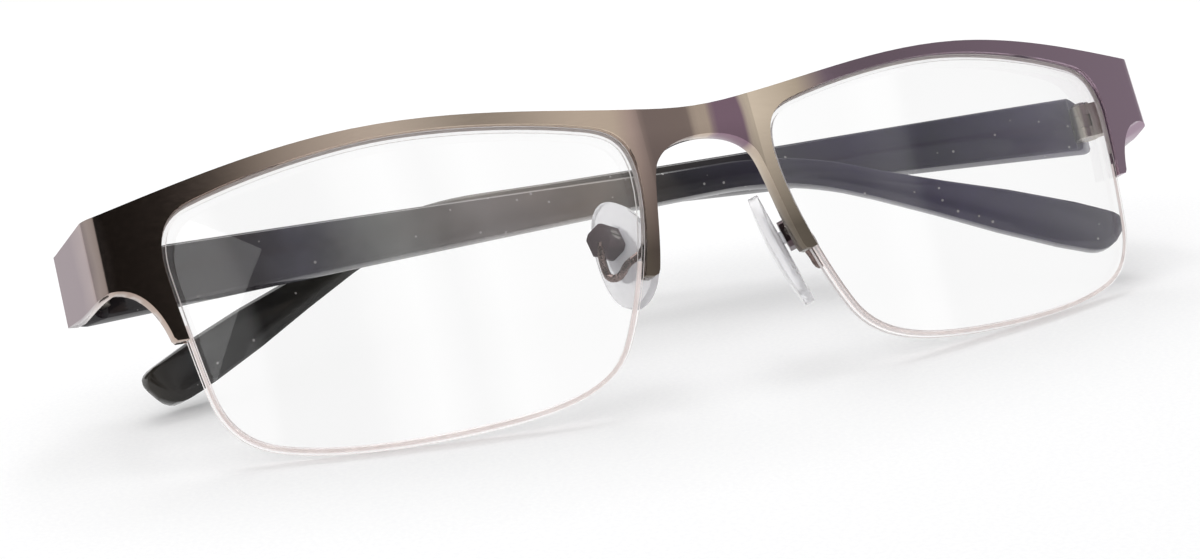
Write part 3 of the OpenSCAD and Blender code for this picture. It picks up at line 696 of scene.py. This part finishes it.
# %% [markdown]
# ## Table
# A plain pale table, painted matt, that keeps the soft shadow of the glasses. By Light Path it shows some of
# the white surround to the camera, more of it to the metal that mirrors it, and nearly all of it through a
# lens. Far from the glasses the camera sees it fade into the surround, so that no edge of the table shows.

# %% Table
TABLE_M = 3.0
SPECKLE_MM = 0.5
GLOW_SEEN = 0.2
GLOW_MIRRORED = 0.6
GLOW_THROUGH = 0.97
FADE_FROM_MM = 140.0
FADE_TO_MM = 450.0
WHITE = (1, 1, 1, 1)


def surround_share(tree, place):
    """Share of the surround's white in the table, by the kind of ray and by the distance from the glasses."""
    ray = add_node(tree, "ShaderNodeLightPath").outputs
    far = add_node(tree, "ShaderNodeVectorMath", {0: place}, operation="LENGTH")
    fade = add_node(tree, "ShaderNodeMapRange",
                    {"Value": far.outputs["Value"], "From Min": FADE_FROM_MM * MM,
                     "From Max": FADE_TO_MM * MM, "To Min": GLOW_SEEN, "To Max": 1.0})
    share = add_node(tree, "ShaderNodeMath", {0: ray["Is Camera Ray"], 1: fade.outputs["Result"]},
                     operation="MULTIPLY")
    for kind, glow in (("Is Glossy Ray", GLOW_MIRRORED), ("Is Transmission Ray", GLOW_THROUGH)):
        other = add_node(tree, "ShaderNodeMath", {0: ray[kind], 1: glow}, operation="MULTIPLY")
        share = add_node(tree, "ShaderNodeMath", {0: share.outputs[0], 1: other.outputs[0]},
                         operation="MAXIMUM")
    return share.outputs[0]


def make_table_paint():
    """Matt white paint with a fine speckle, mixed with the surround's white."""
    material, tree, shader, place = start_material("matt white table")
    tone = mottled(tree, place, SPECKLE_MM, srgb("#f3f3f4"), srgb("#f8f8f8"))
    tree.links.new(tone, shader.inputs["Base Color"])
    shader.inputs["Roughness"].default_value = 0.9
    shader.inputs["Specular IOR Level"].default_value = 0.1
    glow = add_node(tree, "ShaderNodeEmission", {"Color": WHITE, "Strength": 1.0})
    end_in_mix(tree, surround_share(tree, place), shader.outputs["BSDF"], glow.outputs["Emission"])
    return material


bpy.ops.object.select_all(action="DESELECT")
bpy.ops.mesh.primitive_plane_add(size=TABLE_M, location=(0, 0, 0))
table = bpy.context.active_object
table.name = "table"
dress(table, make_table_paint())
print("table of", TABLE_M, "m in", table.data.materials[0].name)

# %% [markdown]
# ## White surround
# A studio's white surround, as a world. Its strength is 1 to the camera and to what bends it, so it shows as
# white there, and lower as a light. Polished metal needs something to mirror, so the world shows it soft
# grey screens, as a photographer sets them up round a shiny object. They stand as stripes from the wearer's
# right to the left. A ray that passes a lens counts as a mirrored one too, so seen level from the front a
# screen shows through the left lens as a soft grey band.

# %% White surround
LIGHT_STRENGTH = 0.72
# Each screen is a place, from 0 at the wearer's far right to 1 at the far left, and the grey level there.
SCREENS = [
    (0.0, 0.8), (0.08, 0.75), (0.16, 0.72), (0.215, 0.62), (0.235, 0.02), (0.33, 0.02), (0.36, 0.13),
    (0.4, 0.62), (0.46, 1.0), (0.525, 0.4), (0.59, 1.0), (0.65, 0.75), (0.73, 0.7), (0.785, 1.0),
    (0.815, 0.92), (0.835, 0.4), (1.0, 0.75)]

world = bpy.data.worlds.new("white surround")
bpy.context.scene.world = world
world.use_nodes = True
tree = world.node_tree
tree.nodes.clear()
ray = add_node(tree, "ShaderNodeLightPath").outputs
seen = add_node(tree, "ShaderNodeMath", {0: ray["Is Camera Ray"], 1: ray["Is Transmission Ray"]},
                operation="MAXIMUM")
strength = add_node(tree, "ShaderNodeMapRange",
                    {"Value": seen.outputs[0], "To Min": LIGHT_STRENGTH, "To Max": 1.0})
heading = add_node(tree, "ShaderNodeTexCoord").outputs["Generated"]
across = add_node(tree, "ShaderNodeSeparateXYZ", {0: heading}).outputs["X"]
spot = add_node(tree, "ShaderNodeMapRange", {"Value": across, "From Min": -1.0, "From Max": 1.0})
screens = add_node(tree, "ShaderNodeValToRGB", {"Fac": spot.outputs["Result"]})
set_ramp(screens, [(at, (level, level, level, 1.0)) for at, level in SCREENS])
sky_tone = add_node(tree, "ShaderNodeMix", {0: ray["Is Glossy Ray"], 6: WHITE, 7: screens.outputs["Color"]},
                    data_type="RGBA")
sky = add_node(tree, "ShaderNodeBackground",
               {"Color": sky_tone.outputs[2], "Strength": strength.outputs["Result"]})
add_node(tree, "ShaderNodeOutputWorld", {"Surface": sky.outputs["Background"]})
print("surround with", len(SCREENS), "tones of grey screens")

# %% [markdown]
# ## Lamps
# Two large soft lamps stand in for a studio's light boxes. The one above and behind gives the metal its
# highlights and the table its soft shadow. The one on the wearer's right only fills in, so the metal doesn't
# mirror it.

# %% Lamps
LAMP_AIM = Vector((0, 0, 0.01))


def soft_lamp(name, at, size, watts):
    """A square area lamp that points at the glasses."""
    data = bpy.data.lights.new(name, "AREA")
    data.size = size
    data.energy = watts
    lamp = bpy.data.objects.new(name, data)
    bpy.context.scene.collection.objects.link(lamp)
    turn = (LAMP_AIM - Vector(at)).to_track_quat("-Z", "Y").to_matrix().to_4x4()
    lamp.matrix_world = Matrix.Translation(Vector(at)) @ turn
    return lamp


soft_lamp("lamp above", at=(0.05, 0.3, 0.55), size=0.45, watts=1.9)
soft_lamp("lamp left", at=(-0.6, -0.3, 0.4), size=0.4, watts=0.8).visible_glossy = False
print("two lamps aimed at", [round(v / MM) for v in LAMP_AIM], "mm")
